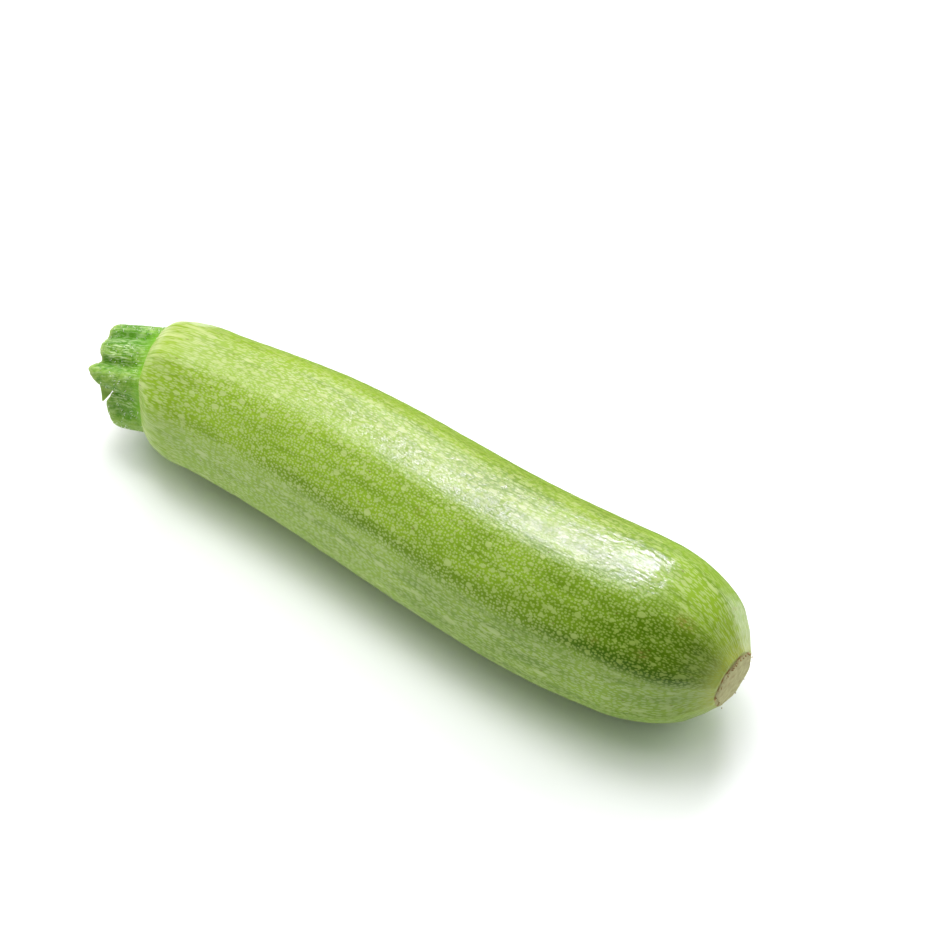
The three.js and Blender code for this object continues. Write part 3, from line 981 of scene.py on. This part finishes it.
@dataclass
class Stem:
    """The stub of stem: ridged, flared where it grips the fruit, torn off at the other end.

    Angles are in degrees, lengths in millimetres, and shares run from the seam, 0, to the torn edge, 1.

    Rows of the outline: share, radius at the ridges' foot. Torn edge: angle, length. Broken end: inset and
    depth behind the torn edge. Grooves: angle at the seam and at the edge, depth, width. Dents: angle, share,
    depth, width, length. Worn spots: angle, share, width, length, strength. Flap ends: angle, length, lift
    over the skin. Tatters, fibres and swellings: wavelength, seed, height.
    """

    form: CourgetteForm
    placement: Placement
    outline: Rows = ((0, 13.4), (0.15, 12.5), (0.35, 11.9), (0.6, 11.5), (0.85, 11.1), (1, 10.6))
    direction: tuple[float, float, float] = (-1, -0.22, -0.17)
    torn_edge: Rows = (
        (-180, 14), (-150, 13), (-120, 13.5), (-95, 12), (-65, 11), (-40, 10), (-22, 10.2), (-8, 11),
        (0, 11.2), (8, 11.0), (15, 10.2), (20, 9.4), (24, 8.9), (27, 11.6), (30, 13.0), (35, 13.9),
        (41, 15.0), (50, 16.3), (56, 15.6), (64, 13.9), (72, 14.6), (84, 15.2), (100, 15.4), (118, 15.3),
        (140, 14.6), (160, 15), (180, 14),
    )
    tatters: Rows = ((0.12, 2.2, 0.35), (0.045, 6.1, 0.2))
    fibres: Rows = ((0.55, 8.8, 0.16), (0.2, 1.3, 0.08))
    swellings: Rows = ((1.6, 9.4, 0.30),)
    broken_end: Rows = ((0.5, 0.1), (1.2, 1.0), (2.6, 1.8), (5.3, 2.5), (8.0, 2.6))
    grooves: Rows = (
        (102, 101, 1.0, 5), (56, 61, 1.7, 7), (14, 26, 0.6, 6), (-46, -46, 1.0, 9), (-95, -95, 1.1, 8),
        (-144, -144, 0.9, 9), (148, 148, 0.8, 8),
    )
    groove_at_seam: float = 0.35
    dents: Rows = (
        (-2, 0.6, 1.3, 9, 0.32), (118, 0.6, 0.5, 7, 0.25), (76, 0.75, 0.4, 5, 0.2), (40, 0.2, 0.4, 6, 0.15),
    )
    worn_spots: Rows = (
        (80, 0.55, 13, 0.35, 1.0), (52, 0.15, 9, 0.18, 0.9), (42, 0.5, 5, 0.12, 0.8),
        (115, 0.35, 5, 0.12, 0.8), (12, 0.4, 9, 0.3, 0.6), (70, 0.35, 6, 0.3, 0.5),
        (22, 0.75, 8, 0.35, 0.9), (-60, 0.5, 14, 0.3, 0.8), (-120, 0.5, 14, 0.3, 0.8),
    )
    worn_all_over: float = 0.35
    # painted shade on the stem's upper side
    painted_lighting_side: Edges = (74.0, 90.0, 150.0, 180.0)
    seam_fade: float = 2.6
    flap_ends: Rows = ((31, 13.0, -0.3), (25, 9.3, -0.3), (10, 11.8, 1.1))
    flap_curl: float = 0.9
    flap_narrowing: float = 0.9
    flap_thickness: float = 0.35
    flap_looks: tuple[tuple[str, float], ...] = (
        ("relief_shade", -0.8), ("worn", 0.3), ("near_seam", 0.0), ("torn", 0.4),
    )
    sink: float = 0.6
    sides: int = 160
    rings_per_span: int = 4
    bristle_count: int = 260
    bristle_lean: float = 0.35
    seed: int = 5
    bristle_width: Span = (0.10, 0.15)
    bristle_length: Span = (0.35, 0.95)
    skin: StemSkin = field(default_factory=StemSkin)
    hair: PlantHair = field(default_factory=PlantHair)

    def build(self) -> None:
        """Models the stub, its flap and its bristles and dresses them."""
        stub = self.stub()
        finish_piece(stub, "stem_stub", self.skin.material())
        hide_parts("stem")
        finish_piece(self.flap(), "torn_flap", stub.data.materials[0])
        finish_piece(self.bristles(), "stem_bristles", self.hair.material())

    def reach(self, angle: Array) -> Array:
        """How far the torn skin reaches from the seam, with a fine ragged edge."""
        return np.interp(turned(angle, 0.0), *zip(*self.torn_edge)) + ripples(ring(angle), self.tatters)

    def groove_depth(self, angle: Array, share: Array) -> Array:
        """The depth of the grooves between the lobes, shallow at the seam, and of the dents in them."""
        depth = np.zeros_like(angle)
        opened = self.groove_at_seam + (1 - self.groove_at_seam) * smoothstep(share, 0.1, 0.5)
        for at_seam, at_end, deep, width in self.grooves:
            depth += deep * peak(turned(angle, at_seam + (at_end - at_seam) * share), width) * opened
        for middle, place, deep, width, length in self.dents:
            depth += deep * peak(turned(angle, middle), width) * peak(share - place, length)
        return depth

    def surface(self, share: Array, foot: Array, angle: Array, drop: Array | float = 0.0) -> Array:
        """Points of the stub.

        Args:
            share: Places from the seam, 0, to the torn edge, 1.
            foot: The radius at the foot of the ridges.
            angle: Angles round the stem.
            drop: Depth below the torn edge.
        """
        seam = self.form.sections(np.zeros(len(angle)))
        heading = np.array(self.direction) / np.linalg.norm(self.direction)
        distance = share * (self.reach(angle) + self.sink) - self.sink - drop
        centre = seam.centre + distance[:, None] * heading
        relief = self.form.ridge_at_seam + (1 - self.form.ridge_at_seam) * np.minimum(1, 2 * share)
        rough = ripples(ring(angle, 4.0, 0.5 * share), self.fibres)
        rough += ripples(ring(angle, 4.0, 6.0 * share), self.swellings)
        radius = foot + relief * self.form.ridge_height(angle) - self.groove_depth(angle, share)
        radius += rough * smoothstep(share, 0.0, 0.15)
        return Section(centre, seam.along, seam.side, seam.up).point(radius, np.cos(angle), np.sin(angle))

    def stub(self) -> bpy.types.Object:
        """Pulls a circle along the stub and back into its broken end."""
        outline = np.array(self.outline, float)
        stations = np.arange(0, (len(outline) - 1) * self.rings_per_span + 1) / self.rings_per_span
        rings = [(share, foot, 0.0, 0.0) for share, foot in smooth_outline(outline, stations)]
        rim = outline[-1, 1]
        rings += [(1.0, rim - inset, depth, 1.0) for inset, depth in self.broken_end]
        piece = primitive(bpy.ops.mesh.primitive_circle_add, vertices=self.sides, radius=rings[0][1] * MM,
                          fill_type="NGON")
        bpy.ops.object.mode_set(mode="EDIT")
        bpy.ops.mesh.select_all(action="SELECT")
        for _ in rings[1:]:
            bpy.ops.mesh.extrude_region_move(TRANSFORM_OT_translate={"value": (0, 0, MM)})
        bpy.ops.object.mode_set(mode="OBJECT")
        flat = vertex_array(piece.data) / MM
        step = np.rint(flat[:, 2]).astype(int)
        angle = np.arctan2(flat[:, 1], flat[:, 0])
        share, foot, depth, broken = np.array(rings).T[:, step]
        places = self.surface(share, foot, angle, depth)
        distance = share * self.reach(angle)
        growth = ring(angle, self.form.seam_foot)[:, [2, 0, 1]]
        growth[:, 0] = distance
        store(piece.data, "growth", growth * MM)
        # the colour mask stored below darkens the grooves and the upper side with painted shade, and lightens
        # the ridges
        height = self.form.ridge_height(angle) / 2.5 - self.groove_depth(angle, share) / 1.2
        painted_lighting = 0.5 * plateau(np.degrees(angle) % 360, self.painted_lighting_side)
        store(piece.data, "relief_shade", 0.75 * np.clip(height + 0.1, 0, 1) - 1.55 - painted_lighting)
        store(piece.data, "near_seam", np.exp(-distance / self.seam_fade) * np.clip(1.25 - height, 0.15, 1))
        store(piece.data, "torn", np.maximum(broken, 0.5 * smoothstep(share, 0.92, 0.98)))
        worn = np.full_like(share, self.worn_all_over)
        for middle, place, width, length, strength in self.worn_spots:
            worn += strength * peak(turned(angle, middle), width) * peak(share - place, length)
        store(piece.data, "worn", np.clip(worn, 0, 1))
        move_vertices(piece.data, self.placement(places))
        bpy.ops.object.select_all(action="DESELECT")
        bpy.ops.object.mode_set(mode="EDIT")
        bpy.ops.mesh.select_all(action="SELECT")
        bpy.ops.mesh.normals_make_consistent(inside=False)
        bpy.ops.object.mode_set(mode="OBJECT")
        return piece

    def flap(self) -> bpy.types.Object:
        """Shapes the thin strip of skin that hangs from the torn edge."""
        corners = np.array(self.flap_ends, float)
        angle, reach, lift = np.radians(corners[:, 0]), corners[:, 1], corners[:, 2]
        share = (reach + self.sink) / (self.reach(angle) + self.sink)
        foot = np.interp(share, *np.array(self.outline, float).T)
        first, second, tip = self.surface(share, foot + lift, angle)
        piece = primitive(bpy.ops.mesh.primitive_grid_add, x_subdivisions=6, y_subdivisions=10, size=1.0)
        flat = vertex_array(piece.data)
        across, down = flat[:, :1] + 0.5, flat[:, 1:2] + 0.5
        outward = np.cross(second - first, tip - first)
        outward /= np.linalg.norm(outward)
        ragged = 0.12 * ripple(flat * 4, 0.5, 3.3)[:, None]
        curl = self.flap_curl * np.sin(math.pi * down) * (0.4 + across)
        root = (first + second) / 2
        middle = root + down * (tip - root)
        sideways = (first + across * (second - first) - root) * (1 - self.flap_narrowing * down)
        move_vertices(piece.data, self.placement(middle + sideways + (curl + ragged) * outward))
        apply_modifier(piece, "skin", "SOLIDIFY", thickness=self.flap_thickness * MM, offset=0.0)
        apply_modifier(piece, "round", "SUBSURF", levels=1, render_levels=1)
        store(piece.data, "growth", vertex_array(piece.data)[:, [2, 0, 1]])
        for name, value in self.flap_looks:
            store(piece.data, name, np.full(len(piece.data.vertices), value))
        return piece

    def bristles(self) -> bpy.types.Object:
        """Copies one thin spike over the stub, more of them on the ridges."""
        random = np.random.default_rng(self.seed)
        piece = primitive(bpy.ops.mesh.primitive_cone_add, vertices=4, radius1=1.0, radius2=0.0, depth=1.0)
        spike = vertex_array(piece.data) + [0, 0, 0.5]
        count = self.bristle_count
        angle = random.uniform(-math.pi, math.pi, 3 * count)
        keep = random.uniform(0, 2.6, 3 * count) < self.form.ridge_height(angle) + 0.3
        angle = angle[keep][:count]
        share = random.uniform(0.05, 0.97, len(angle))
        foot = np.interp(share, *np.array(self.outline, float).T)
        base = self.surface(share, foot, angle)
        ahead = self.surface(share + 0.01, foot, angle)
        beside = self.surface(share, foot, angle + 0.02)
        out = np.cross(beside - base, ahead - base)
        out /= np.linalg.norm(out, axis=1, keepdims=True)
        middle = self.surface(share, np.zeros_like(foot), angle)
        out *= np.sign(((base - middle) * out).sum(1))[:, None]
        copies = []
        for place, normal in zip(base, out):
            lean = Vector(normal) + Vector(random.normal(0, self.bristle_lean, 3))
            turn = np.array(lean.to_track_quat("Z", "X").to_matrix())
            width = random.uniform(*self.bristle_width)
            size = np.array([width, width, random.uniform(*self.bristle_length)])
            copies.append(self.placement((spike * size) @ turn.T + place - 0.05 * normal))
        join_copies(piece, copies)
        return piece


# --- the studio


class Reach(Enum):
    """What a light does: light everything, light the table alone, or only show as a mirror image."""

    ALL = "all"
    TABLE = "table"
    MIRROR = "mirror"


@dataclass(frozen=True)
class SoftLight:
    """A rectangular soft light that shines at a point of the table."""

    name: str
    place: tuple[float, float, float]
    size: Span
    power: float
    reach: Reach = Reach.ALL
    colour: str = "FFFFFF"

    def build(self, aim: Vector, table: bpy.types.Object) -> None:
        """Hangs the light and turns it to its aim.

        Args:
            aim: The point that it shines at.
            table: The table, which is all that a table light reaches.
        """
        data = bpy.data.lights.new(self.name, "AREA")
        data.shape = "RECTANGLE"
        data.size, data.size_y = self.size
        data.energy = self.power
        data.color = hex_colour(self.colour)[:3]
        light = bpy.data.objects.new(self.name, data)
        light.location = self.place
        light.rotation_euler = (aim - Vector(self.place)).to_track_quat("-Z", "Y").to_euler()
        light.visible_diffuse = self.reach is not Reach.MIRROR
        light.visible_glossy = self.reach is Reach.MIRROR
        bpy.context.scene.collection.objects.link(light)
        if self.reach is Reach.TABLE:
            light.light_linking.receiver_collection = bpy.data.collections.new(self.name + "_reach")
            light.light_linking.receiver_collection.objects.link(table)


@dataclass
class Studio:
    """The plain table, the soft lights and the camera that looks down on the courgette.

    The skin mirrors panes of its own, because lights as strong as the shading needs would glare in it. A pane
    hangs a little in front of its light: in one plane with it, it would blur the highlight.
    """

    azimuth: float = 33.2
    elevation: float = 49.3
    distance: float = 0.6604
    aim: tuple[float, float, float] = (0.0066, 0.0197, 0.020)
    lens: float = 100.0
    sky: str = "F4F8FF"
    sky_strength: float = 0.04
    table_size: float = 6.0
    lights: tuple[SoftLight, ...] = (
        SoftLight("window", (-0.22, 0.86, 0.90), (0.40, 0.72), 6.0),
        SoftLight("softbox", (-1.00, 0.60, 0.90), (1.5, 0.75), 3.6),
        SoftLight("overhead", (-0.26, 0.19, 0.92), (0.40, 0.50), 3.2),
        SoftLight("top_fill", (0.02, 0.03, 1.22), (0.8, 0.8), 4.9),
        SoftLight("left_fill", (-0.84, -0.08, 0.87), (0.8, 0.8), 4.5),
        SoftLight("front_fill", (-0.79, -0.78, 0.43), (0.8, 0.8), 2.4),
        SoftLight("back_fill", (0.48, 0.92, 0.66), (0.8, 0.8), 4.4),
        SoftLight("table_fill", (0.73, -0.22, 0.94), (0.8, 0.8), 2.8, Reach.TABLE, "EAFFE2"),
        SoftLight("pane_near", (-0.1575, 0.8277, 0.8967), (0.29, 0.38), 14.5, Reach.MIRROR, "E2CCFF"),
        SoftLight("pane_far", (-0.4038, 0.5913, 1.0050), (0.26, 0.25), 5.6, Reach.MIRROR, "E2CCFF"),
        SoftLight("pane_low", (-0.5121, 0.9656, 0.6406), (0.24, 0.42), 1.3, Reach.MIRROR, "E6DCFF"),
        SoftLight("pane_wide", (-0.9849, 0.5913, 0.8868), (1.5, 0.75), 5.0, Reach.MIRROR, "E6DCFF"),
        SoftLight("pane_high", (-0.2560, 0.1874, 0.9065), (0.40, 0.50), 4.0, Reach.MIRROR, "E6DCFF"),
    )
    table_board: PaintedBoard = PaintedBoard("white_table", "F6F7F7", 0.6)
    card_board: PaintedBoard = PaintedBoard("green_card", "A5C75A", 0.8)
    card_ends: Span = (-0.085, 0.087)
    card_place: float = 0.036
    card_height: float = 0.038

    def build(self) -> None:
        """Sets the table, the lights and the camera."""
        table = primitive(bpy.ops.mesh.primitive_plane_add, size=self.table_size)
        table.name = "table"
        table.data.materials.append(self.table_board.material())
        self.card()
        for light in self.lights:
            light.build(Vector(self.aim), table)
        world = bpy.data.worlds.new("sky")
        bpy.context.scene.world = world
        world.use_nodes = True
        background = world.node_tree.nodes["Background"]
        background.inputs["Color"].default_value = hex_colour(self.sky)
        background.inputs["Strength"].default_value = self.sky_strength
        self.camera()
        bpy.context.scene.view_settings.view_transform = "Standard"

    def card(self) -> None:
        """Stands a green card behind the fruit, unseen by the camera, so that the far edge won't glare."""
        start, end = self.card_ends
        card = primitive(bpy.ops.mesh.primitive_plane_add, size=1.0, rotation=(math.pi / 2, 0, 0))
        card.name = "green_card"
        card.scale = (end - start, self.card_height, 1.0)
        card.location = ((start + end) / 2, self.card_place, self.card_height / 2)
        card.visible_camera = False
        card.visible_shadow = False
        card.visible_diffuse = False
        card.data.materials.append(self.card_board.material())

    def camera(self) -> None:
        """Puts the camera at its distance from the aim, looking down at it."""
        turn, rise = math.radians(self.azimuth), math.radians(self.elevation)
        back = Vector((math.sin(turn) * math.cos(rise), -math.cos(turn) * math.cos(rise), math.sin(rise)))
        data = bpy.data.cameras.new("camera")
        data.lens = self.lens
        camera = bpy.data.objects.new("camera", data)
        camera.location = Vector(self.aim) + back * self.distance
        camera.rotation_euler = (-back).to_track_quat("-Z", "Y").to_euler()
        bpy.context.scene.collection.objects.link(camera)
        bpy.context.scene.camera = camera


def main() -> None:
    """Builds the courgette piece by piece, then the studio round it."""
    logging.basicConfig(level=logging.INFO, format="%(name)s: %(message)s")
    form = CourgetteForm()
    placement = Placement()
    Fruit(form, placement).build()
    BlossomScar(form, placement).build()
    Stem(form, placement).build()
    Studio().build()


if __name__ == "__main__":
    main()
